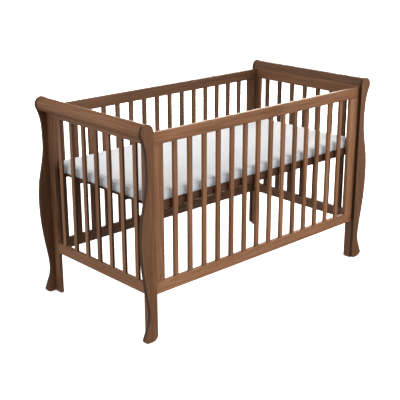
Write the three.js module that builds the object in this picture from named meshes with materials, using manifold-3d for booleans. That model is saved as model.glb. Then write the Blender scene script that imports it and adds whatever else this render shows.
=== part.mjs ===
// A sleigh cot bed: two scrolled ends, two slatted sides, a slatted mattress base that bolts on at
// one of three heights, and a thin foam mattress. Millimetres, +Z up, +X along the bed.
// The origin is on the floor under the middle of the bed; the front side faces -Y.
import * as THREE from "three";
import { mergeVertices } from "three/addons/utils/BufferGeometryUtils.js";
import Module from "manifold-3d";

const wasm = await Module();
wasm.setup();

// ---- driving dimensions ----
const GAP = 0.3; // what touching pieces keep between them

// the mattress the bed is made for
const MATTRESS_LENGTH = 1400;
const MATTRESS_WIDTH = 700;
const MATTRESS_THICKNESS = 50;
const MATTRESS_CORNER_RADIUS = 28;
const MATTRESS_EDGE_RADIUS = 9;

// the two ends: straight legs, and a scrolled board outside each leg
const LEG_INNER_X = 708;
const LEG_THICKNESS = 18;
const LEG_INNER_Y = 328.5;
const LEG_WIDTH = 47;
const SLEIGH_THICKNESS = 17;
const SLEIGH_FOOT_INNER_X = 699.5;
const HEAD_X = 742;
const HEAD_Z = 964;
const HEAD_RADIUS = 36;
const HEAD_CURL_START = -0.6; // radians from +X, where the round head leaves the outer edge
const HEAD_CURL_END = Math.PI + 0.15; // radians from +X, where it meets the inner edge
const TOE_X = 748;
const TOE_RADIUS = 36;
const TOE_TIP_ANGLE = -0.45; // radians from +X, where the foot's round underside ends
const HEEL_RADIUS = 28;
const BOARD_BEVEL = 2; // chamfer round the boards' outline

// rails between the legs and the round rail between the scroll heads
const SCROLL_RADIUS = 33.5;
const END_RAIL_BOTTOM_Z = 903;
const BOTTOM_RAIL_Z = 215;
const BOTTOM_RAIL_HEIGHT = 54;

// the two sides
const SIDE_OUTER_Y = 375.2;
const SIDE_THICKNESS = 20;
const TOP_RAIL_TOP_Z = 954;
const TOP_RAIL_HEIGHT = 54.5;
const STILE_INNER_X = 641;

// slats
const SLAT_WIDTH = 26;
const SLAT_THICKNESS = 13;
const SLAT_EDGE_RADIUS = 3.5;
const SIDE_SLATS = 14;
const SIDE_SLAT_PITCH = 87.5;
const END_SLATS = 7;
const END_SLAT_PITCH = 93;
const TENON_THICKNESS = 6;
const TENON_LENGTH = 12;
const TONGUE_WIDTH = 8;
const TONGUE_HEIGHT = 6;

// the mattress base, drawn at its highest position
const BASE_TOP_Z = 633;
const BASE_STEP = 150;
const BASE_POSITIONS = 3;
const BASE_RAIL_HEIGHT = 38;
const BASE_RAIL_THICKNESS = 18;
const BASE_RAIL_OUTER_Y = 350;
const BASE_END_X = 703;
const LEDGE_WIDTH = 9;
const DECK_THICKNESS = 10;
const DECK_SLATS = 12;
const DECK_SLAT_WIDTH = 68;
const DECK_EDGE_RADIUS = 2;
const DECK_BATTEN_WIDTH = 32;
const DECK_BATTEN_Y = 165;

// the base's bolts, each in a pocket open to the inside of its rail
const BOLT_RADIUS = 3;
const BOLT_HEAD_RADIUS = 5;
const BOLT_HEAD_HEIGHT = 6;
const BOLT_LENGTH = 39;
const POCKET_LENGTH = 27;
const POCKET_HEIGHT = 14;
const POCKET_END_WALL = 23;
const POCKET_SKIN = 3;
const INSERT_RADIUS = 4;
const INSERT_DEPTH = 13;

const EASED_EDGE = 2.5; // radius of the eased long edges of rails and legs
const LEDGE_FALL = 0.3; // the deck lies this far above its ledge
const OVERRUN = 1; // how far a cutting or joining block passes the face it meets

// straight steps that round shapes are made of
const HEAD_STEPS = 18;
const FOOT_STEPS = 5;
const SCROLL_STEPS = 28;
const BOLT_SIDES = 20;
const MATTRESS_CORNER_STEPS = 5;
const MATTRESS_EDGE_STEPS = 3;
const MERGE_DISTANCE = 1e-4;

// ---- worked out from the dimensions above ----
const LEG_OUTER_X = LEG_INNER_X + LEG_THICKNESS;
const LEG_OUTER_Y = LEG_INNER_Y + LEG_WIDTH;
const SLEIGH_INNER_Y = LEG_OUTER_Y;
const LEG_MIDDLE_X = (LEG_INNER_X + LEG_OUTER_X) / 2;
const BOTTOM_RAIL_TOP_Z = BOTTOM_RAIL_Z + BOTTOM_RAIL_HEIGHT;
const TOP_RAIL_BOTTOM_Z = TOP_RAIL_TOP_Z - TOP_RAIL_HEIGHT;
const SIDE_MIDDLE_Y = SIDE_OUTER_Y - SIDE_THICKNESS / 2;
const BASE_BOTTOM_Z = BASE_TOP_Z - BASE_RAIL_HEIGHT;
const BOLT_Z = (BASE_TOP_Z + BASE_BOTTOM_Z) / 2;
const BOLT_Y = BASE_RAIL_OUTER_Y - BASE_RAIL_THICKNESS / 2;
const LEDGE_Z = BASE_TOP_Z - DECK_THICKNESS - LEDGE_FALL;

// ---- materials ----
const woodMaterial = () =>
  new THREE.MeshStandardMaterial({ color: 0x7a5638, roughness: 0.5, metalness: 0 });

const deckMaterial = () =>
  new THREE.MeshStandardMaterial({ color: 0x5d3d26, roughness: 0.6, metalness: 0 });

const mattressMaterial = () =>
  new THREE.MeshStandardMaterial({ color: 0xf1f1f0, roughness: 0.9, metalness: 0 });

const steelMaterial = () =>
  new THREE.MeshStandardMaterial({ color: 0xb9b6ae, roughness: 0.35, metalness: 1 });

// ---- geometry helpers ----
function solidFrom(geometry, matrix = new THREE.Matrix4()) {
  const bare = geometry.clone().applyMatrix4(matrix);
  bare.deleteAttribute("normal");
  bare.deleteAttribute("uv");
  const merged = mergeVertices(bare, MERGE_DISTANCE);
  return new wasm.Manifold(
    new wasm.Mesh({
      numProp: 3,
      vertProperties: merged.attributes.position.array,
      triVerts: new Uint32Array(merged.index.array),
    }),
  );
}

function geometryFrom(solid) {
  const mesh = solid.getMesh();
  const geometry = new THREE.BufferGeometry();
  geometry.setAttribute("position", new THREE.BufferAttribute(mesh.vertProperties, 3));
  geometry.setIndex(new THREE.BufferAttribute(mesh.triVerts, 1));
  geometry.computeVertexNormals();
  return geometry;
}

// a solid box between two corners
function boxSolid(low, high) {
  const size = high.map((value, i) => value - low[i]);
  const middle = high.map((value, i) => (value + low[i]) / 2);
  const place = new THREE.Matrix4().makeTranslation(...middle);
  return solidFrom(new THREE.BoxGeometry(...size), place);
}

// a solid cylinder along X, from fromX to toX
function roundAlongX(radius, fromX, toX, y, z) {
  const place = new THREE.Matrix4()
    .makeTranslation((fromX + toX) / 2, y, z)
    .multiply(new THREE.Matrix4().makeRotationZ(Math.PI / 2));
  const length = Math.abs(toX - fromX);
  return solidFrom(new THREE.CylinderGeometry(radius, radius, length, BOLT_SIDES), place);
}

// a rectangle about the origin with round corners
function roundedRectangle(width, height, radius) {
  const x = width / 2;
  const y = height / 2;
  const shape = new THREE.Shape();
  shape.absarc(x - radius, -y + radius, radius, -Math.PI / 2, 0, false);
  shape.absarc(x - radius, y - radius, radius, 0, Math.PI / 2, false);
  shape.absarc(-x + radius, y - radius, radius, Math.PI / 2, Math.PI, false);
  shape.absarc(-x + radius, -y + radius, radius, Math.PI, Math.PI * 1.5, false);
  shape.closePath();
  return shape;
}

const QUARTER = Math.PI / 2;
const uprightTurn = new THREE.Matrix4(); // an outline in X and Y, run along +Z
const alongYTurn = new THREE.Matrix4().makeRotationX(QUARTER); // outline in X and Z, run along -Y
const alongXTurn = new THREE.Matrix4() // outline in Y and Z, run along +X
  .makeRotationZ(QUARTER)
  .multiply(new THREE.Matrix4().makeRotationX(QUARTER));

// an outline run for a length, centred on the origin, then turned
function run(shape, length, turn, curveSegments = 2) {
  const geometry = new THREE.ExtrudeGeometry(shape, {
    depth: length,
    bevelEnabled: false,
    curveSegments,
  });
  return geometry.translate(0, 0, -length / 2).applyMatrix4(turn);
}

function piece(name, geometry, material, x = 0, y = 0, z = 0) {
  const mesh = new THREE.Mesh(geometry, material);
  mesh.name = name;
  mesh.position.set(x, y, z);
  return mesh;
}

// ---- the ends ----
// The scrolled board's outline in X and Z. side is +1 at the right end and -1 at the left.
// The outer edge swells at the belly and narrows at the neck and at the ankle; the inner edge is
// straight and leans out a little towards the head.
const OUTER_EDGE = [
  [775, 36],
  [763, 64],
  [752, 92],
  [746.5, 130],
  [750, 180],
  [766, 268],
  [780, 365],
  [786.5, 472],
  [780, 578],
  [762, 660],
  [749, 730],
  [747, 800],
  [751.5, 878],
  [761.5, 918],
];

function sleighOutline(side) {
  const edge = OUTER_EDGE.map(([x, z]) => new THREE.Vector2(side * x, z));
  const arc = (x, z, radius, from, to, count) =>
    Array.from({ length: count + 1 }, (_, i) => {
      const angle = from + ((to - from) * i) / count;
      return new THREE.Vector2(side * (x + radius * Math.cos(angle)), z + radius * Math.sin(angle));
    });
  const toe = arc(TOE_X, TOE_RADIUS, TOE_RADIUS, -QUARTER, TOE_TIP_ANGLE, FOOT_STEPS);
  const head = arc(HEAD_X, HEAD_Z, HEAD_RADIUS, HEAD_CURL_START, HEAD_CURL_END, HEAD_STEPS);
  const heelX = SLEIGH_FOOT_INNER_X + HEEL_RADIUS;
  const heel = arc(heelX, HEEL_RADIUS, HEEL_RADIUS, Math.PI, 3 * QUARTER, FOOT_STEPS);
  const curve = new THREE.SplineCurve([toe.at(-1), ...edge, head[0]]);
  const shoulder = new THREE.Vector2(side * (HEAD_X - HEAD_RADIUS), HEAD_Z - HEAD_RADIUS / 2);
  return new THREE.Shape([
    ...toe,
    ...curve.getPoints(2 * OUTER_EDGE.length).slice(1, -1),
    ...head,
    shoulder,
    ...heel,
  ]);
}

function sleighBoard(name, side, front) {
  const geometry = new THREE.ExtrudeGeometry(sleighOutline(side), {
    depth: SLEIGH_THICKNESS - 2 * BOARD_BEVEL,
    bevelThickness: BOARD_BEVEL,
    bevelSize: BOARD_BEVEL,
    bevelOffset: -BOARD_BEVEL,
    bevelSegments: 1,
  });
  geometry.translate(0, 0, BOARD_BEVEL - SLEIGH_THICKNESS / 2).applyMatrix4(alongYTurn);
  const y = front * (SLEIGH_INNER_Y + SLEIGH_THICKNESS / 2);
  return piece(name, geometry, woodMaterial(), 0, y, 0);
}

// A straight leg, with a blind hole for a threaded insert at each height of the base.
function leg(name, side, front) {
  const height = END_RAIL_BOTTOM_Z - GAP;
  const outline = roundedRectangle(LEG_THICKNESS, LEG_WIDTH - GAP, EASED_EDGE);
  const middleY = front * (LEG_INNER_Y + (LEG_WIDTH - GAP) / 2);
  const place = new THREE.Matrix4().makeTranslation(side * LEG_MIDDLE_X, middleY, height / 2);
  let solid = solidFrom(run(outline, height, uprightTurn), place);
  for (let i = 0; i < BASE_POSITIONS; i++) {
    const z = BOLT_Z - i * BASE_STEP;
    const from = side * (LEG_INNER_X - OVERRUN);
    const to = side * (LEG_INNER_X + INSERT_DEPTH);
    solid = solid.subtract(roundAlongX(INSERT_RADIUS, from, to, front * BOLT_Y, z));
  }
  return piece(name, geometryFrom(solid), woodMaterial());
}

// The round rail between the scroll heads, rebated over the flat rail below it.
function scrollRail(name, side) {
  const rebateX = LEG_OUTER_X + GAP - HEAD_X;
  const startAngle = -Math.acos(rebateX / SCROLL_RADIUS);
  const endAngle = Math.PI - Math.asin(GAP / SCROLL_RADIUS);
  const shape = new THREE.Shape();
  shape.absarc(0, 0, SCROLL_RADIUS, startAngle, endAngle, false);
  shape.lineTo(rebateX, GAP);
  shape.closePath();
  const geometry = run(shape, 2 * (SLEIGH_INNER_Y - GAP), alongYTurn, SCROLL_STEPS);
  const mesh = piece(name, geometry, woodMaterial(), side * HEAD_X, 0, HEAD_Z);
  if (side < 0) mesh.rotation.z = Math.PI;
  return mesh;
}

// The cross section of a flat rail in X and Z, with a groove for the slats' tongue in one edge.
function groovedSection(height, grooveUp) {
  const x = LEG_THICKNESS / 2;
  const z = height / 2;
  const r = EASED_EDGE;
  const grooveX = TONGUE_WIDTH / 2 + GAP;
  const grooveZ = z - TONGUE_HEIGHT - 2 * GAP;
  const shape = new THREE.Shape();
  shape.absarc(x - r, -z + r, r, -QUARTER, 0, false);
  shape.absarc(x - r, z - r, r, 0, QUARTER, false);
  shape.lineTo(grooveX, z);
  shape.lineTo(grooveX, grooveZ);
  shape.lineTo(-grooveX, grooveZ);
  shape.lineTo(-grooveX, z);
  shape.absarc(-x + r, z - r, r, QUARTER, Math.PI, false);
  shape.absarc(-x + r, -z + r, r, Math.PI, 3 * QUARTER, false);
  shape.closePath();
  return grooveUp ? shape : new THREE.Shape(shape.getPoints(2).map((p) => p.clone().negate()));
}

// The flat rail under the round rail; it crosses the tops of both legs.
function endUpperRail(name, side) {
  const height = HEAD_Z - END_RAIL_BOTTOM_Z;
  const geometry = run(groovedSection(height, false), 2 * (SLEIGH_INNER_Y - GAP), alongYTurn);
  const z = END_RAIL_BOTTOM_Z + height / 2;
  return piece(name, geometry, woodMaterial(), side * LEG_MIDDLE_X, 0, z);
}

function endLowerRail(name, side) {
  const length = 2 * (LEG_INNER_Y - GAP);
  const geometry = run(groovedSection(BOTTOM_RAIL_HEIGHT, true), length, alongYTurn);
  const z = BOTTOM_RAIL_Z + BOTTOM_RAIL_HEIGHT / 2;
  return piece(name, geometry, woodMaterial(), side * LEG_MIDDLE_X, 0, z);
}

// The end's slats, with the tongue strips that lie in the grooves of its two flat rails.
function endSlats(name, side) {
  const bottom = BOTTOM_RAIL_TOP_Z + GAP;
  const top = END_RAIL_BOTTOM_Z - GAP;
  const outline = roundedRectangle(SLAT_THICKNESS, SLAT_WIDTH, SLAT_EDGE_RADIUS);
  const slatGeometry = run(outline, top - bottom, uprightTurn);
  const halfLength = LEG_INNER_Y - GAP;
  const halfTongue = TONGUE_WIDTH / 2;
  const tongue = (low, high) =>
    boxSolid([-halfTongue, -halfLength, low], [halfTongue, halfLength, high]);
  let solid = tongue(bottom - TONGUE_HEIGHT, bottom).add(tongue(top, top + TONGUE_HEIGHT));
  for (let i = 0; i < END_SLATS; i++) {
    const y = (i - (END_SLATS - 1) / 2) * END_SLAT_PITCH;
    const place = new THREE.Matrix4().makeTranslation(0, y, (top + bottom) / 2);
    solid = solid.add(solidFrom(slatGeometry, place));
  }
  return piece(name, geometryFrom(solid), woodMaterial(), side * LEG_MIDDLE_X, 0, 0);
}

// ---- the sides ----
const slatX = (i) => (i - (SIDE_SLATS - 1) / 2) * SIDE_SLAT_PITCH;
const stileWidth = LEG_INNER_X - GAP - STILE_INNER_X;
const stileMiddleX = STILE_INNER_X + stileWidth / 2;
const TENON_SHOULDER = 4; // how far a tenon stands in from each edge of its upright

// one entry for each upright of a side: its middle in X and its width
const sideUprights = [
  [-stileMiddleX, stileWidth],
  ...Array.from({ length: SIDE_SLATS }, (_, i) => [slatX(i), SLAT_WIDTH]),
  [stileMiddleX, stileWidth],
];

// A tenon, or with clearance the mortise for it, of an upright of this width.
function tenonSolid(x, width, fromZ, toZ, clearance) {
  const halfWidth = width / 2 - TENON_SHOULDER + clearance;
  const halfThickness = TENON_THICKNESS / 2 + clearance;
  return boxSolid([x - halfWidth, -halfThickness, fromZ], [x + halfWidth, halfThickness, toZ]);
}

function sideRail(name, front, bottomZ, height, mortiseUp) {
  const length = 2 * (LEG_INNER_X - GAP);
  const outline = roundedRectangle(SIDE_THICKNESS, height, EASED_EDGE);
  const middleZ = bottomZ + height / 2;
  const place = new THREE.Matrix4().makeTranslation(0, 0, middleZ);
  let solid = solidFrom(run(outline, length, alongXTurn), place);
  const depth = TENON_LENGTH + GAP;
  const low = mortiseUp ? bottomZ + height - depth : bottomZ - OVERRUN;
  const high = mortiseUp ? bottomZ + height + OVERRUN : bottomZ + depth;
  for (const [x, width] of sideUprights) {
    solid = solid.subtract(tenonSolid(x, width, low, high, GAP));
  }
  return piece(name, geometryFrom(solid), woodMaterial(), 0, front * SIDE_MIDDLE_Y, 0);
}

// A slat or a stile: a flat upright with a tenon at each end.
function sideUpright(name, front, x, width, thickness, edgeRadius) {
  const bottom = BOTTOM_RAIL_TOP_Z + GAP;
  const top = TOP_RAIL_BOTTOM_Z - GAP;
  const outline = roundedRectangle(width, thickness, edgeRadius);
  const place = new THREE.Matrix4().makeTranslation(0, 0, (top + bottom) / 2);
  const tenonEnd = TENON_LENGTH - GAP;
  const solid = solidFrom(run(outline, top - bottom, uprightTurn), place)
    .add(tenonSolid(0, width, bottom - tenonEnd, bottom, 0))
    .add(tenonSolid(0, width, top, top + tenonEnd, 0));
  return piece(name, geometryFrom(solid), woodMaterial(), x, front * SIDE_MIDDLE_Y, 0);
}

function side(label, front) {
  const group = new THREE.Group();
  group.add(
    sideRail(`${label}_top_rail`, front, TOP_RAIL_BOTTOM_Z, TOP_RAIL_HEIGHT, false),
    sideRail(`${label}_bottom_rail`, front, BOTTOM_RAIL_Z, BOTTOM_RAIL_HEIGHT, true),
  );
  for (const [end, sign] of [["left", -1], ["right", 1]]) {
    const name = `${label}_${end}_stile`;
    const x = sign * stileMiddleX;
    group.add(sideUpright(name, front, x, stileWidth, SIDE_THICKNESS, EASED_EDGE));
  }
  for (let i = 0; i < SIDE_SLATS; i++) {
    const name = `${label}_slat_${String(i + 1).padStart(2, "0")}`;
    group.add(sideUpright(name, front, slatX(i), SLAT_WIDTH, SLAT_THICKNESS, SLAT_EDGE_RADIUS));
  }
  return group;
}

// ---- the mattress base ----
// A long rail of the base: rebated for the deck, with a bolt pocket and bore at each end.
function baseRail(name, front) {
  const outerY = front * BASE_RAIL_OUTER_Y;
  const innerY = front * (BASE_RAIL_OUTER_Y - BASE_RAIL_THICKNESS);
  const ledgeY = front * (BASE_RAIL_OUTER_Y - BASE_RAIL_THICKNESS + LEDGE_WIDTH);
  const pocketY = front * (BASE_RAIL_OUTER_Y - POCKET_SKIN);
  const sorted = (a, b) => (a < b ? [a, b] : [b, a]);
  const block = (x, y, z) => boxSolid([x[0], y[0], z[0]], [x[1], y[1], z[1]]);
  const fullX = [-BASE_END_X, BASE_END_X];
  const openY = innerY - front * OVERRUN;
  let solid = block(fullX, sorted(innerY, outerY), [BASE_BOTTOM_Z, BASE_TOP_Z]);
  const ledgeX = [-BASE_END_X - OVERRUN, BASE_END_X + OVERRUN];
  const ledgeZ = [LEDGE_Z, BASE_TOP_Z + OVERRUN];
  solid = solid.subtract(block(ledgeX, sorted(openY, ledgeY), ledgeZ));
  for (const end of [-1, 1]) {
    const wallX = BASE_END_X - POCKET_END_WALL;
    const pocketX = sorted(end * (wallX - POCKET_LENGTH), end * wallX);
    const pocketZ = [BOLT_Z - POCKET_HEIGHT / 2, BOLT_Z + POCKET_HEIGHT / 2];
    const from = end * (wallX - OVERRUN);
    const to = end * (BASE_END_X + OVERRUN);
    const bore = roundAlongX(BOLT_RADIUS + GAP, from, to, front * BOLT_Y, BOLT_Z);
    solid = solid.subtract(block(pocketX, sorted(openY, pocketY), pocketZ)).subtract(bore);
  }
  return piece(name, geometryFrom(solid), deckMaterial());
}

// The deck: cross slats on two battens, lying on the ledges of the long rails.
function baseDeck(name) {
  const top = BASE_TOP_Z;
  const under = top - DECK_THICKNESS;
  const halfY = BASE_RAIL_OUTER_Y - BASE_RAIL_THICKNESS + LEDGE_WIDTH - 2 * GAP;
  const halfX = MATTRESS_LENGTH / 2;
  const firstX = -halfX + DECK_SLAT_WIDTH / 2;
  const pitch = (2 * halfX - DECK_SLAT_WIDTH) / (DECK_SLATS - 1);
  const outline = roundedRectangle(DECK_SLAT_WIDTH, DECK_THICKNESS, DECK_EDGE_RADIUS);
  const slatGeometry = run(outline, 2 * halfY, alongYTurn, 1);
  const batten = (y) =>
    boxSolid(
      [-halfX, y - DECK_BATTEN_WIDTH / 2, under - DECK_THICKNESS],
      [halfX, y + DECK_BATTEN_WIDTH / 2, under + OVERRUN],
    );
  let solid = batten(-DECK_BATTEN_Y).add(batten(DECK_BATTEN_Y));
  for (let i = 0; i < DECK_SLATS; i++) {
    const place = new THREE.Matrix4().makeTranslation(firstX + i * pitch, 0, (top + under) / 2);
    solid = solid.add(solidFrom(slatGeometry, place));
  }
  // the battens' upper millimetre is let into the slats only, not across the gaps
  for (let i = 0; i < DECK_SLATS - 1; i++) {
    const gapX = firstX + i * pitch + DECK_SLAT_WIDTH / 2;
    const low = [gapX, -halfY, under];
    const high = [gapX + pitch - DECK_SLAT_WIDTH, halfY, top];
    solid = solid.subtract(boxSolid(low, high));
  }
  return piece(name, geometryFrom(solid), deckMaterial());
}

// A base bolt, backed out of its leg until its tip is inside the rail's end.
function baseBolt(name, side, front) {
  const tip = BASE_END_X - 2 * GAP;
  const neck = tip - BOLT_LENGTH;
  const y = front * BOLT_Y;
  const shank = roundAlongX(BOLT_RADIUS, side * (neck - OVERRUN), side * tip, y, BOLT_Z);
  const head = roundAlongX(BOLT_HEAD_RADIUS, side * (neck - BOLT_HEAD_HEIGHT), side * neck, y, BOLT_Z);
  return piece(name, geometryFrom(shank.add(head)), steelMaterial());
}

// ---- the mattress ----
function mattress(name) {
  const outline = roundedRectangle(
    MATTRESS_LENGTH - 2 * MATTRESS_EDGE_RADIUS,
    MATTRESS_WIDTH - 2 * MATTRESS_EDGE_RADIUS,
    MATTRESS_CORNER_RADIUS - MATTRESS_EDGE_RADIUS,
  );
  const geometry = new THREE.ExtrudeGeometry(outline, {
    depth: MATTRESS_THICKNESS - 2 * MATTRESS_EDGE_RADIUS,
    bevelThickness: MATTRESS_EDGE_RADIUS,
    bevelSize: MATTRESS_EDGE_RADIUS,
    bevelSegments: MATTRESS_EDGE_STEPS,
    curveSegments: MATTRESS_CORNER_STEPS,
  });
  const z = BASE_TOP_Z + GAP + MATTRESS_EDGE_RADIUS;
  return piece(name, geometry, mattressMaterial(), 0, 0, z);
}

// ---- the whole bed ----
const crib = new THREE.Group();

for (const [end, sign] of [["left", -1], ["right", 1]]) {
  crib.add(
    scrollRail(`${end}_scroll_rail`, sign),
    endUpperRail(`${end}_upper_rail`, sign),
    endLowerRail(`${end}_lower_rail`, sign),
    endSlats(`${end}_end_slats`, sign),
  );
  for (const [face, front] of [["front", -1], ["rear", 1]]) {
    crib.add(
      sleighBoard(`${face}_${end}_sleigh_board`, sign, front),
      leg(`${face}_${end}_leg`, sign, front),
      baseBolt(`base_bolt_${face}_${end}`, sign, front),
    );
  }
}

crib.add(side("front", -1), side("rear", 1));
crib.add(baseRail("base_rail_front", -1), baseRail("base_rail_rear", 1));
crib.add(baseDeck("base_slat_deck"), mattress("mattress"));

export default crib;
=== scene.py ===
"""Looks of a slatted sleigh cot bed: walnut-stained wood, a slatted base and a thin foam mattress."""

import math

import bmesh
import bpy
import numpy as np
from mathutils import Matrix, Vector
from mathutils.bvhtree import BVHTree


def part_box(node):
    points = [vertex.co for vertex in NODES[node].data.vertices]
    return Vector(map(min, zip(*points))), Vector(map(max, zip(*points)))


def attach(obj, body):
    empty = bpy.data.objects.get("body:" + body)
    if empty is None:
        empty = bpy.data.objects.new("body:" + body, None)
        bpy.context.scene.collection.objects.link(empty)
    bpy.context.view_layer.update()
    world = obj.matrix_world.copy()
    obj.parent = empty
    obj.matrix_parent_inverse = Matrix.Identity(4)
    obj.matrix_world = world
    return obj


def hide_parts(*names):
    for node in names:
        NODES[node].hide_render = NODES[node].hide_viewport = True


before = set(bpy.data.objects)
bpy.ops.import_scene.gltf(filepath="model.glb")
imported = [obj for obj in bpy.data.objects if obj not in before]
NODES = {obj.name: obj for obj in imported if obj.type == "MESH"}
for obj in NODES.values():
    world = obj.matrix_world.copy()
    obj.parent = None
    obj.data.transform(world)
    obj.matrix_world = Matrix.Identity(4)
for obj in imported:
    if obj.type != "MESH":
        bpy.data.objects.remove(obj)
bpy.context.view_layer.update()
scene = bpy.context.scene

# ---- camera ----
CAMERA_PLACE = (-2.9932, -3.1130, 1.8642)
CAMERA_TURN = (71.48, 0.0, -43.30)  # degrees
CAMERA_LENS = 79.37  # millimetres, on a sensor 36 mm wide
SENSOR_WIDTH = 36.0
CAMERA_SHIFT = (-0.00616, -0.00515)

camera_data = bpy.data.cameras.new("camera")
camera_data.lens = CAMERA_LENS
camera_data.sensor_width = SENSOR_WIDTH
camera_data.shift_x, camera_data.shift_y = CAMERA_SHIFT
camera = bpy.data.objects.new("camera", camera_data)
camera.location = CAMERA_PLACE
camera.rotation_euler = [math.radians(a) for a in CAMERA_TURN]
scene.collection.objects.link(camera)
scene.camera = camera


# ---- node helpers ----
class Tree:
    """A short way to write the node tree of a material, or of the world."""

    def __init__(self, owner, shader="Principled BSDF"):
        self.owner = owner
        owner.use_nodes = True
        self.tree = owner.node_tree
        self.shader = self.tree.nodes[shader]

    def node(self, kind, **settings):
        made = self.tree.nodes.new("ShaderNode" + kind)
        for key, value in settings.items():
            setattr(made, key, value)
        return made

    def link(self, source, target):
        self.tree.links.new(source, target)

    def put(self, socket, value):
        if isinstance(value, bpy.types.NodeSocket):
            self.link(value, socket)
        else:
            socket.default_value = value

    def math(self, operation, a, b=0.0, c=0.0, clamp=False):
        made = self.node("Math", operation=operation, use_clamp=clamp)
        for socket, value in zip(made.inputs, (a, b, c)):
            self.put(socket, value)
        return made.outputs[0]

    def vector(self, operation, a, b=(0.0, 0.0, 0.0)):
        made = self.node("VectorMath", operation=operation)
        self.put(made.inputs[0], a)
        self.put(made.inputs[1], b)
        return made.outputs[0]

    def combine(self, x, y, z):
        made = self.node("CombineXYZ")
        for socket, value in zip(made.inputs, (x, y, z)):
            self.put(socket, value)
        return made.outputs[0]

    def noise(self, where, scale=1.0, detail=2.0, rough=0.5, distortion=0.0):
        made = self.node("TexNoise")
        self.put(made.inputs["Vector"], where)
        made.inputs["Scale"].default_value = scale
        made.inputs["Detail"].default_value = detail
        made.inputs["Roughness"].default_value = rough
        made.inputs["Distortion"].default_value = distortion
        return made.outputs["Fac"]

    def spread(self, value, low, high, to_low=0.0, to_high=1.0):
        made = self.node("MapRange", interpolation_type="SMOOTHSTEP")
        for socket, v in zip(made.inputs, (value, low, high, to_low, to_high)):
            self.put(socket, v)
        return made.outputs[0]

    def ramp(self, value, stops):
        made = self.node("ValToRGB")
        elements = made.color_ramp.elements
        while len(elements) < len(stops):
            elements.new(0.5)
        for element, (at, colour) in zip(elements, stops):
            element.position = at
            element.color = (*colour, 1.0)
        self.link(value, made.inputs[0])
        return made.outputs[0]

    def mix(self, how, amount, a, b):
        made = self.node("Mix", data_type="RGBA", blend_type=how)
        self.put(made.inputs[0], amount)
        self.put(made.inputs[6], a)
        self.put(made.inputs[7], b)
        return made.outputs[2]

    def bump(self, height, strength, distance, normal=None):
        made = self.node("Bump")
        made.inputs["Strength"].default_value = strength
        made.inputs["Distance"].default_value = distance
        self.link(height, made.inputs["Height"])
        if normal is not None:
            self.link(normal, made.inputs["Normal"])
        return made.outputs[0]


# ---- studio ----
LIGHT_AIM = (0.0, 0.0, 0.5)
LIGHTS = {  # place, size in metres, watts and tint
    "key_light": ((3.4, -2.9, 3.0), (3.4, 2.2), 90, (1.0, 0.97, 0.93)),
    "back_light": ((3.8, 2.8, 1.9), (3.0, 1.2), 235, (1.0, 0.90, 0.81)),
}


def area_light(name, place, size, power, tint):
    data = bpy.data.lights.new(name, "AREA")
    data.shape = "RECTANGLE"
    data.size, data.size_y = size
    data.energy = power
    data.color = tint
    lamp = bpy.data.objects.new(name, data)
    lamp.location = place
    away = Vector(place) - Vector(LIGHT_AIM)
    lamp.rotation_euler = away.to_track_quat("Z", "Y").to_euler()
    scene.collection.objects.link(lamp)


for light_name, settings in LIGHTS.items():
    area_light(light_name, *settings)

# The room glows at the front right and at the left, and is dark below. Each glow has its
# direction, the cosine at which it starts, and its strength.
ROOM_LOBES = [((0.45, -0.74, 0.50), 0.42, 2.25), ((-0.82, 0.38, 0.28), 0.10, 1.42)]
ROOM_BASE = 0.03
world = bpy.data.worlds.new("studio")
room = Tree(world, "Background")
toward = room.vector("NORMALIZE", room.node("TexCoord").outputs["Generated"])
total = ROOM_BASE
for lobe, rim, strength in ROOM_LOBES:
    near = room.node("VectorMath", operation="DOT_PRODUCT")
    room.link(toward, near.inputs[0])
    near.inputs[1].default_value = Vector(lobe).normalized()
    total = room.math("ADD", room.spread(near.outputs["Value"], rim, 1.0, 0.0, strength), total)
room.link(total, room.shader.inputs["Color"])
room.shader.inputs["Strength"].default_value = 1.0
scene.world = world
scene.view_settings.view_transform = "Standard"
scene.view_settings.look = "None"


def paper(name, colour, roughness, emission):
    material = bpy.data.materials.new(name)
    material.use_nodes = True
    shader = material.node_tree.nodes["Principled BSDF"]
    shader.inputs["Base Color"].default_value = (*colour, 1.0)
    shader.inputs["Roughness"].default_value = roughness
    shader.inputs["Emission Color"].default_value = (1.0, 1.0, 1.0, 1.0)
    shader.inputs["Emission Strength"].default_value = emission
    return material


STUDIO_RADIUS = 40.0
FLOOR_DROP = 0.0004
FLOOR_CORNERS = [(-1, -1), (1, -1), (1, 1), (-1, 1)]
floor_points = [(STUDIO_RADIUS * x, STUDIO_RADIUS * y, -FLOOR_DROP) for x, y in FLOOR_CORNERS]
floor_mesh = bpy.data.meshes.new("studio_floor")
floor_mesh.from_pydata(floor_points, [], [(0, 1, 2, 3)])
floor = bpy.data.objects.new("studio_floor", floor_mesh)
floor.data.materials.append(paper("floor_paper", (0.93, 0.93, 0.93), 0.9, 0.78))
floor.visible_diffuse = False
floor.visible_glossy = False
scene.collection.objects.link(floor)

dome_mesh = bpy.data.meshes.new("studio_dome")
shape = bmesh.new()
bmesh.ops.create_icosphere(shape, subdivisions=4, radius=STUDIO_RADIUS)
shape.to_mesh(dome_mesh)
shape.free()
dome = bpy.data.objects.new("studio_dome", dome_mesh)
dome.data.materials.append(paper("dome_paper", (0.0, 0.0, 0.0), 1.0, 1.0))
dome.visible_diffuse = False
dome.visible_glossy = False
dome.visible_transmission = False
dome.visible_shadow = False
scene.collection.objects.link(dome)


def srgb(red, green, blue):
    """Linear colour of a display colour given in 0 to 255."""
    return tuple(((c / 255 + 0.055) / 1.055) ** 2.4 for c in (red, green, blue))


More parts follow.
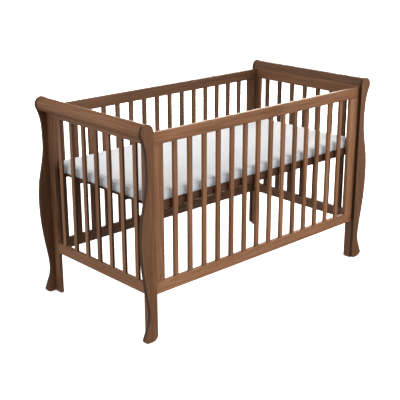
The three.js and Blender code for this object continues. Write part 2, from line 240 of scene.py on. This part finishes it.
# ---- wood ----
WOOD_DARK = srgb(92, 58, 32)
WOOD_MID = srgb(126, 87, 59)
WOOD_LIGHT = srgb(154, 111, 80)
DECK_DARK = srgb(62, 38, 24)
DECK_MID = srgb(84, 53, 35)
DECK_LIGHT = srgb(104, 70, 48)
# Colour of the lightened edges: partly rubbed wear, partly a painted edge highlight.
WORN_EDGE_AND_HIGHLIGHT = srgb(176, 132, 98)
AXES = {"x": 0, "y": 1, "z": 2}
SEED_SHIFTS = (17.3, 31.7, 7.9)  # how far each piece's own number moves it through the grain
EASED_RADIUS = 0.0016

# scales of the grain's noises per metre, across and along it
CLOUD = (7.0, 0.9)
RING_FLOW = (15.0, 0.8)
STREAK = (230.0, 5.0)
FIBRE = (1050.0, 26.0)
PORE = (1500.0, 70.0)
RED_PATCH = (11.0, 1.7)
WEAR = (60.0, 12.0)
RINGS = 62.0


def wood(name, axis, tones, cell=None, rough=0.52, painted_shade_axis=None, painted_shade_factor=1.0):
    """Stained wood whose grain runs along axis.

    cell is the pitch across Y after which a new board begins. The faces that look along the given axis
    are painted darker by the given factor: painted shade for the shade those faces lie in.
    """
    t = Tree(bpy.data.materials.new(name))
    here = t.node("TexCoord").outputs["Object"]
    seed = t.node("ObjectInfo").outputs["Random"]
    if cell:
        split = t.node("SeparateXYZ")
        t.link(here, split.inputs[0])
        board = t.math("FLOOR", t.math("ADD", t.math("DIVIDE", split.outputs[1], cell), 0.5))
        white = t.node("TexWhiteNoise", noise_dimensions="2D")
        t.link(t.combine(board, seed, 0.0), white.inputs["Vector"])
        seed = white.outputs["Value"]
    offset = t.combine(*(t.math("MULTIPLY", seed, shift) for shift in SEED_SHIFTS))
    here = t.vector("ADD", here, offset)

    def grain(scales, **settings):
        across, along = scales
        stretch = [across, across, across]
        stretch[AXES[axis]] = along
        return t.noise(t.vector("MULTIPLY", here, tuple(stretch)), **settings)

    cloud = grain(CLOUD, detail=2.0)
    flow = grain(RING_FLOW, detail=2.0, rough=0.45, distortion=0.25)
    rings = t.math("MULTIPLY_ADD", t.math("SINE", t.math("MULTIPLY", flow, RINGS)), 0.5, 0.5)
    streak = grain(STREAK, detail=4.0, rough=0.62)
    fibre = grain(FIBRE, detail=2.0, rough=0.55)
    pores = t.spread(grain(PORE, detail=1.0), 0.60, 0.72)

    tone = t.math("MULTIPLY", cloud, 0.45)
    tone = t.math("MULTIPLY_ADD", rings, 0.12, tone)
    tone = t.math("MULTIPLY_ADD", streak, 0.38, tone)
    tone = t.math("MULTIPLY_ADD", seed, 0.09, tone)
    colour = t.ramp(tone, [(0.28, tones[0]), (0.52, tones[1]), (0.78, tones[2])])
    redden = t.spread(grain(RED_PATCH, detail=1.0), 0.42, 0.68, 0.0, 0.35)
    colour = t.mix("MULTIPLY", redden, colour, (1.0, 0.86, 0.78, 1.0))
    dim = t.spread(fibre, 0.3, 0.7, 0.90, 1.06)
    colour = t.mix("MULTIPLY", 1.0, colour, t.combine(dim, dim, dim))
    colour = t.mix("MULTIPLY", t.math("MULTIPLY", pores, 0.38), colour, (0.30, 0.22, 0.17, 1.0))

    soft = t.node("Bevel", samples=4)
    soft.inputs["Radius"].default_value = EASED_RADIUS
    facing = t.node("VectorMath", operation="DOT_PRODUCT")
    t.link(soft.outputs[0], facing.inputs[0])
    t.link(t.node("NewGeometry").outputs["Normal"], facing.inputs[1])
    # Convex eased edges are lightened where the wear noise is high: partly rubbed wear, partly a painted
    # highlight along the edges.
    edge = t.spread(facing.outputs["Value"], 0.985, 0.86)
    worn_and_highlight = t.math("MULTIPLY", edge, t.spread(grain(WEAR, detail=2.0), 0.35, 0.7))
    colour = t.mix("MIX", t.math("MULTIPLY", worn_and_highlight, 0.30), colour, (*WORN_EDGE_AND_HIGHLIGHT, 1.0))
    # Painted shade: faces that look along the given axis are darkened to stand in for their shade.
    if painted_shade_axis:
        sides = t.node("SeparateXYZ")
        t.link(t.node("TexCoord").outputs["Normal"], sides.inputs[0])
        painted_shade_mask = t.spread(t.math("ABSOLUTE", sides.outputs[AXES[painted_shade_axis]]), 0.45, 0.75)
        colour = t.mix("MULTIPLY", painted_shade_mask, colour, (painted_shade_factor, painted_shade_factor * 0.96, painted_shade_factor * 0.92, 1.0))
    t.link(colour, t.shader.inputs["Base Color"])

    gloss = t.math("MULTIPLY_ADD", streak, 0.16, rough - 0.08)
    gloss = t.math("MULTIPLY_ADD", pores, 0.14, gloss)
    gloss = t.math("MULTIPLY_ADD", worn_and_highlight, -0.10, gloss)
    t.link(gloss, t.shader.inputs["Roughness"])
    t.shader.inputs["IOR"].default_value = 1.45
    t.shader.inputs["Specular IOR Level"].default_value = 0.24
    relief = t.math("MULTIPLY_ADD", pores, -0.9, t.math("MULTIPLY_ADD", streak, 0.5, fibre))
    t.link(t.bump(relief, 0.30, 0.00018, soft.outputs[0]), t.shader.inputs["Normal"])
    return t.owner


# How light the wood of each group is. The rear side and the right end are darker copies of the same
# walnut: painted shade for the shade those parts lie in.
RAIL_SHADE = 1.18
UPRIGHT_SHADE = 1.10
BOARD_SHADE = 0.78
REAR_PAINTED_SHADE = 0.56
RIGHT_END_PAINTED_SHADE = 0.76
RIGHT_SLATS_PAINTED_SHADE = 0.48
RIGHT_SCROLL_PAINTED_SHADE = 0.56
# Painted shade on the sleigh boards' X-facing edges and on the end slats' Y-facing sides.
BOARD_EDGE_PAINTED_SHADE = 0.36
SLAT_EDGE_PAINTED_SHADE = 0.32


def walnut(shade):
    return tuple(tuple(c * shade for c in tone) for tone in (WOOD_DARK, WOOD_MID, WOOD_LIGHT))


DECKS = (DECK_DARK, DECK_MID, DECK_LIGHT)
END_SLAT_PITCH = 0.093
wood_x = wood("walnut_along_x", "x", walnut(RAIL_SHADE))
wood_y = wood("walnut_along_y", "y", walnut(1.0))
wood_z = wood("walnut_upright", "z", walnut(UPRIGHT_SHADE))
wood_leg = wood("walnut_leg", "z", walnut(BOARD_SHADE))
# Painted shade: the rear side's rails and stiles are a darker copy of the walnut.
wood_rear_x_painted_shade = wood("walnut_rear_along_x_painted_shade", "x", walnut(REAR_PAINTED_SHADE))
wood_rear_z_painted_shade = wood("walnut_rear_upright_painted_shade", "z", walnut(REAR_PAINTED_SHADE))
# Painted shade: the right end's rails and scroll rail are darker copies of the walnut.
wood_right_y_painted_shade = wood("walnut_right_end_painted_shade", "y", walnut(RIGHT_END_PAINTED_SHADE))
wood_right_scroll_painted_shade = wood("walnut_right_scroll_painted_shade", "y", walnut(RIGHT_SCROLL_PAINTED_SHADE))
wood_board = wood("walnut_board", "z", walnut(BOARD_SHADE), painted_shade_axis="x", painted_shade_factor=BOARD_EDGE_PAINTED_SHADE)


def end_slat_wood(name, shade):
    return wood(name, "z", walnut(shade), cell=END_SLAT_PITCH, painted_shade_axis="y", painted_shade_factor=SLAT_EDGE_PAINTED_SHADE)


wood_left_slats = end_slat_wood("walnut_left_slats", 1.0)
# Painted shade: the right end's slats are a darker copy of the walnut.
wood_right_slats_painted_shade = end_slat_wood("walnut_right_slats_painted_shade", RIGHT_SLATS_PAINTED_SHADE)
deck_x = wood("deck_rail_wood", "x", DECKS, rough=0.55)
deck_y = wood("deck_slat_wood", "y", DECKS, rough=0.55)


def steel(name):
    t = Tree(bpy.data.materials.new(name))
    here = t.node("TexCoord").outputs["Object"]
    brushed = t.noise(t.vector("MULTIPLY", here, (60.0, 2600.0, 2600.0)), detail=2.0)
    blotch = t.noise(here, scale=180.0, detail=3.0)
    colour = t.ramp(blotch, [(0.3, srgb(150, 150, 146)), (0.7, srgb(205, 204, 198))])
    t.link(colour, t.shader.inputs["Base Color"])
    t.shader.inputs["Metallic"].default_value = 1.0
    t.link(t.math("MULTIPLY_ADD", brushed, 0.22, 0.20), t.shader.inputs["Roughness"])
    t.link(t.bump(brushed, 0.2, 0.00005), t.shader.inputs["Normal"])
    return t.owner


zinc = steel("zinc_plated_steel")


def finish_of(name):
    """The material of a CAD node, by the node's name."""
    if name.startswith("base_bolt"):
        return zinc
    if name == "base_slat_deck":
        return deck_y
    if name.startswith("base_rail"):
        return deck_x
    if name.endswith("end_slats"):
        return wood_right_slats_painted_shade if name.startswith("right") else wood_left_slats
    if name == "right_scroll_rail":
        return wood_right_scroll_painted_shade
    if name.endswith(("scroll_rail", "upper_rail", "lower_rail")):
        return wood_right_y_painted_shade if name.startswith("right") else wood_y
    if name.endswith(("top_rail", "bottom_rail")):
        return wood_rear_x_painted_shade if name.startswith("rear") else wood_x
    if name.endswith("sleigh_board"):
        return wood_board
    if name.endswith("leg"):
        return wood_leg
    return wood_rear_z_painted_shade if name.startswith("rear") else wood_z


for name, node in NODES.items():
    if name == "mattress":
        continue
    node.data.materials.clear()
    node.data.materials.append(finish_of(name))


# ---- mattress ----
RIB_PITCH = 0.0016
COVER_SHADE = srgb(208, 212, 217)
COVER_LIGHT = srgb(223, 227, 231)


def fabric(name):
    """Off-white knitted cover cloth: fine ribs, soft mottling and faint creases."""
    t = Tree(bpy.data.materials.new(name))
    here = t.node("TexCoord").outputs["Object"]
    split = t.node("SeparateXYZ")
    t.link(here, split.inputs[0])
    x, y, z = split.outputs
    rib = 2 * math.pi / RIB_PITCH
    across = t.math("SINE", t.math("MULTIPLY", t.math("ADD", x, t.math("MULTIPLY", z, 0.6)), rib))
    along = t.math("SINE", t.math("MULTIPLY", t.math("ADD", y, t.math("MULTIPLY", z, 0.8)), rib))
    weave = t.math("MULTIPLY_ADD", t.math("MULTIPLY", across, along), 0.5, 0.5)
    fuzz = t.noise(here, scale=900.0, detail=3.0)
    mottle = t.noise(here, scale=9.0, detail=3.0)
    crease = t.noise(t.vector("MULTIPLY", here, (5.0, 7.0, 16.0)), detail=3.0, distortion=0.6)
    tone = t.math("MULTIPLY_ADD", mottle, 0.5, t.math("MULTIPLY", fuzz, 0.25))
    tone = t.math("MULTIPLY_ADD", weave, 0.25, tone)
    colour = t.ramp(tone, [(0.25, COVER_SHADE), (0.75, COVER_LIGHT)])
    t.link(colour, t.shader.inputs["Base Color"])
    t.link(t.math("MULTIPLY_ADD", fuzz, 0.12, 0.82), t.shader.inputs["Roughness"])
    t.shader.inputs["Subsurface Weight"].default_value = 0.6
    t.shader.inputs["Subsurface Radius"].default_value = (1.0, 1.0, 1.0)
    t.shader.inputs["Subsurface Scale"].default_value = 0.018
    t.shader.inputs["Sheen Weight"].default_value = 0.25
    t.shader.inputs["Sheen Roughness"].default_value = 0.5
    big = t.bump(crease, 0.25, 0.002)
    t.link(t.bump(t.math("MULTIPLY_ADD", fuzz, 0.5, weave), 0.35, 0.0002, big), t.shader.inputs["Normal"])
    return t.owner


cover = fabric("mattress_cover_cloth")
PAD_LOW, PAD_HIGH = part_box("mattress")


def as_array(mesh):
    points = np.zeros(len(mesh.vertices) * 3)
    mesh.vertices.foreach_get("co", points)
    return points.reshape(-1, 3)


def put_array(mesh, points):
    mesh.vertices.foreach_set("co", points.astype(np.float32).ravel())
    mesh.update()


def apply_modifiers(piece):
    graph = bpy.context.evaluated_depsgraph_get()
    made = bpy.data.meshes.new_from_object(piece.evaluated_get(graph))
    piece.modifiers.clear()
    piece.data = made


VOXEL = 0.006
PAD_START = np.array([1.0055, 1.012, 0.88])  # the cloth draws in at the sides and swells upward
PAD_CAP = 0.0075  # the furthest that a point of the pad may move
SIM_FRAMES = 20
CLOTH_SETTINGS = {
    "quality": 4,
    "mass": 0.3,
    "tension_stiffness": 40,
    "compression_stiffness": 40,
    "shear_stiffness": 20,
    "bending_stiffness": 2.0,
    "use_pressure": True,
    "uniform_pressure_force": 4,
}


def swell(pad):
    """Blow the pad up a little by a cloth simulation, and keep it above what it lies on."""
    rest = as_array(pad.data)
    cloth = pad.modifiers.new("cloth", "CLOTH")
    for key, value in CLOTH_SETTINGS.items():
        setattr(cloth.settings, key, value)
    cloth.settings.effector_weights.gravity = 0
    cloth.collision_settings.use_collision = False
    cloth.point_cache.frame_start = 1
    cloth.point_cache.frame_end = SIM_FRAMES
    for number in range(1, SIM_FRAMES + 1):
        scene.frame_set(number)
    apply_modifiers(pad)
    scene.frame_set(1)
    move = as_array(pad.data) - rest
    length = np.linalg.norm(move, axis=1, keepdims=True)
    move *= np.minimum(1.0, PAD_CAP / np.maximum(length, 1e-9))
    swollen = rest + move
    swollen[:, 2] = np.maximum(swollen[:, 2], PAD_LOW[2])
    put_array(pad.data, swollen)


def make_mattress():
    pad = bpy.data.objects.new("mattress_pad", NODES["mattress"].data.copy())
    scene.collection.objects.link(pad)
    middle = np.array((PAD_LOW + PAD_HIGH) / 2)
    middle[2] = PAD_LOW[2]
    start = (as_array(pad.data) - middle) * PAD_START + middle
    put_array(pad.data, start)
    remesh = pad.modifiers.new("remesh", "REMESH")
    remesh.mode = "VOXEL"
    remesh.voxel_size = VOXEL
    apply_modifiers(pad)
    swell(pad)
    subdivision = pad.modifiers.new("subdivision", "SUBSURF")
    subdivision.levels = subdivision.render_levels = 1
    apply_modifiers(pad)
    for polygon in pad.data.polygons:
        polygon.use_smooth = True
    pad.data.materials.clear()
    pad.data.materials.append(cover)
    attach(pad, "mattress")
    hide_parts("mattress")
    return pad


mattress = make_mattress()

# ---- piping sewn round the cover's upper and lower edges ----
PIPING_RADIUS = 0.0024
PIPING_STEP = 0.010
PIPING_SIDES = 8
PIPING_REACH = 0.020
PIPING_CORNER = 0.028
PIPING_PROUD = 0.00072  # the piping's middle stands this far out of the cover
STITCH_DEPTH = 0.00025
SMOOTHINGS = 3


def outline_points():
    """Points a step apart round the mattress, on a rounded rectangle, with their outward directions."""
    middle = (PAD_LOW + PAD_HIGH) / 2
    half = (PAD_HIGH - PAD_LOW) / 2
    points = []
    for quadrant in range(4):
        turn = quadrant * math.pi / 2
        along, across = (half.x, half.y) if quadrant % 2 else (half.y, half.x)
        forward = Vector((-math.sin(turn), math.cos(turn), 0))
        outward = Vector((math.cos(turn), math.sin(turn), 0))
        straight = 2 * (along - PIPING_CORNER)
        count = int(straight / PIPING_STEP)
        for i in range(count):
            place = outward * across + forward * (straight * (i / count - 0.5))
            points.append((middle + place, outward))
        corner = outward * (across - PIPING_CORNER) + forward * (along - PIPING_CORNER)
        bends = int(PIPING_CORNER * math.pi / 2 / PIPING_STEP) + 2
        for i in range(bends):
            angle = i / bends * math.pi / 2
            away = outward * math.cos(angle) + forward * math.sin(angle)
            points.append((middle + corner + away * PIPING_CORNER, away))
    return points


def tube_mesh(name, centres):
    """A closed tube through these points, drawn in a little at every second one by its stitches."""
    total = len(centres)
    tube = bmesh.new()
    rows = []
    for i, centre in enumerate(centres):
        along = (centres[(i + 1) % total] - centres[i - 1]).normalized()
        sideways = along.cross(Vector((0, 0, 1))).normalized()
        upward = sideways.cross(along)
        radius = PIPING_RADIUS - STITCH_DEPTH * (i % 2)
        row = []
        for k in range(PIPING_SIDES):
            angle = 2 * math.pi * k / PIPING_SIDES
            spoke = sideways * math.cos(angle) + upward * math.sin(angle)
            row.append(tube.verts.new(centre + spoke * radius))
        rows.append(row)
    for i, row in enumerate(rows):
        after = rows[(i + 1) % total]
        for k in range(PIPING_SIDES):
            j = (k + 1) % PIPING_SIDES
            tube.faces.new((row[k], row[j], after[j], after[k])).smooth = True
    bmesh.ops.recalc_face_normals(tube, faces=tube.faces)
    data = bpy.data.meshes.new(name)
    tube.to_mesh(data)
    tube.free()
    return data


def make_piping(name, edge_z, up):
    """Piping along the pad's upper edge, where up is 1, or its lower edge, where up is -1."""
    mesh = mattress.data
    tree = BVHTree.FromPolygons([v.co for v in mesh.vertices], [p.vertices for p in mesh.polygons])
    centres = []
    for point, away in outline_points():
        beyond = Vector((point.x, point.y, edge_z)) + (away + Vector((0, 0, up))) * PIPING_REACH
        nearest = tree.find_nearest(beyond)
        centres.append(nearest[0] + nearest[1] * PIPING_PROUD)
    total = len(centres)
    for _ in range(SMOOTHINGS):
        centres = [
            (centres[i - 1] + centres[i] * 2 + centres[(i + 1) % total]) / 4 for i in range(total)
        ]
    for centre in centres:
        centre.z = max(centre.z, PAD_LOW.z + PIPING_RADIUS)
    data = tube_mesh(name, centres)
    data.materials.append(cover)
    piece = bpy.data.objects.new(name, data)
    scene.collection.objects.link(piece)
    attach(piece, "mattress")


make_piping("mattress_upper_piping", PAD_HIGH.z, 1)
make_piping("mattress_lower_piping", PAD_LOW.z, -1)


# ---- bolts and threaded inserts ----
AROUND = 36
PITCH = 0.001
THREAD_STEP = 0.00025
THREAD_DEPTH = 0.00045
SHARP_ANGLE = math.radians(35)


def hexagon(angle, apothem):
    """Radius of a hexagon with this apothem, at an angle."""
    sixth = math.pi / 3
    return apothem / math.cos(angle % sixth - sixth / 2)


def turned(name, rings, place, direction, capped=True):
    """A turned piece along X. rings are (x, radius at an angle); direction is +1 or -1 along X."""
    mesh = bmesh.new()
    rows = []
    for x, radius in rings:
        row = []
        for i in range(AROUND):
            angle = 2 * math.pi * i / AROUND
            r = radius(angle) if callable(radius) else radius
            row.append(mesh.verts.new((direction * x, r * math.cos(angle), r * math.sin(angle))))
        rows.append(row)
    if not capped:
        rows.append(rows[0])
    for a, b in zip(rows, rows[1:]):
        for i in range(AROUND):
            j = (i + 1) % AROUND
            mesh.faces.new((a[i], a[j], b[j], b[i]))
    if capped:
        mesh.faces.new(rows[0])
        mesh.faces.new(rows[-1])
    bmesh.ops.recalc_face_normals(mesh, faces=mesh.faces)
    data = bpy.data.meshes.new(name)
    mesh.to_mesh(data)
    mesh.free()
    data.transform(Matrix.Translation(place))
    data.materials.append(zinc)
    for polygon in data.polygons:
        polygon.use_smooth = True
    data.set_sharp_from_angle(angle=SHARP_ANGLE)
    piece = bpy.data.objects.new(name, data)
    scene.collection.objects.link(piece)
    return piece


def thread(start, end, radius, depth):
    """Rings of a screw thread between two stations."""
    count = int(abs(end - start) / THREAD_STEP)
    rings = []
    for i in range(count + 1):
        x = start + (end - start) * i / count

        def at(angle, x=x):
            turn = (x / PITCH - angle / (2 * math.pi)) % 1.0
            return radius - depth * abs(2 * turn - 1)

        rings.append((x, at))
    return rings


BOLT_RADIUS = 0.003
HEAD_RADIUS = 0.005
HEAD_HEIGHT = 0.006
SOCKET_APOTHEM = 0.0022
SOCKET_DEPTH = 0.0032
SOCKET_POINT = 0.0004
RIM = 0.0006
THREADED = 0.020


def make_bolt(node, side):
    low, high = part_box(node)
    length = high.x - low.x
    head = low.x if side > 0 else high.x
    place = Vector((head, (low.y + high.y) / 2, (low.z + high.z) / 2))
    socket = [
        (SOCKET_DEPTH + RIM, SOCKET_POINT),
        (SOCKET_DEPTH, lambda a: hexagon(a, SOCKET_APOTHEM)),
        (RIM / 2, lambda a: hexagon(a, SOCKET_APOTHEM)),
        (0.0, lambda a: hexagon(a, SOCKET_APOTHEM + RIM / 2)),
        (0.0, HEAD_RADIUS - RIM),
        (RIM, HEAD_RADIUS),
        (HEAD_HEIGHT - RIM / 2, HEAD_RADIUS),
        (HEAD_HEIGHT, HEAD_RADIUS - RIM / 2),
        (HEAD_HEIGHT, BOLT_RADIUS),
        (length - THREADED - RIM, BOLT_RADIUS),
    ]
    rings = socket + thread(length - THREADED, length - RIM, BOLT_RADIUS, THREAD_DEPTH)
    rings += [(length - RIM / 2, BOLT_RADIUS * 0.8), (length, BOLT_RADIUS * 0.65)]
    bolt = turned(node + "_turned", rings, place, side)
    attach(bolt, "mattress_base")
    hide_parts(node)


INSERT_RADIUS = 0.0038
INSERT_BORE = 0.0031
INSERT_LENGTH = 0.0115
INSERT_SINK = 0.0006
BASE_STEP = 0.150
BASE_HEIGHTS = 3


def make_insert(name, place, side):
    outside = [
        (INSERT_SINK, INSERT_BORE + RIM / 2),
        (INSERT_SINK, INSERT_RADIUS - RIM / 3),
        (INSERT_SINK + RIM / 3, INSERT_RADIUS),
        (INSERT_LENGTH, INSERT_RADIUS),
        (INSERT_LENGTH, INSERT_BORE),
    ]
    bore = thread(INSERT_LENGTH - RIM, INSERT_SINK + RIM / 2, INSERT_BORE + THREAD_DEPTH / 2, THREAD_DEPTH)
    insert = turned(name, outside + bore, place, side, capped=False)
    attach(insert, "frame")


for end, side in (("left", -1), ("right", 1)):
    for face in ("front", "rear"):
        node = f"base_bolt_{face}_{end}"
        make_bolt(node, side)
        bolt_low, bolt_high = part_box(node)
        leg_low, leg_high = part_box(f"{face}_{end}_leg")
        inner = leg_low.x if side > 0 else leg_high.x
        for i in range(BASE_HEIGHTS):
            height = (bolt_low.z + bolt_high.z) / 2 - i * BASE_STEP
            where = Vector((inner, (bolt_low.y + bolt_high.y) / 2, height))
            make_insert(f"leg_insert_{face}_{end}_{i + 1}", where, side)
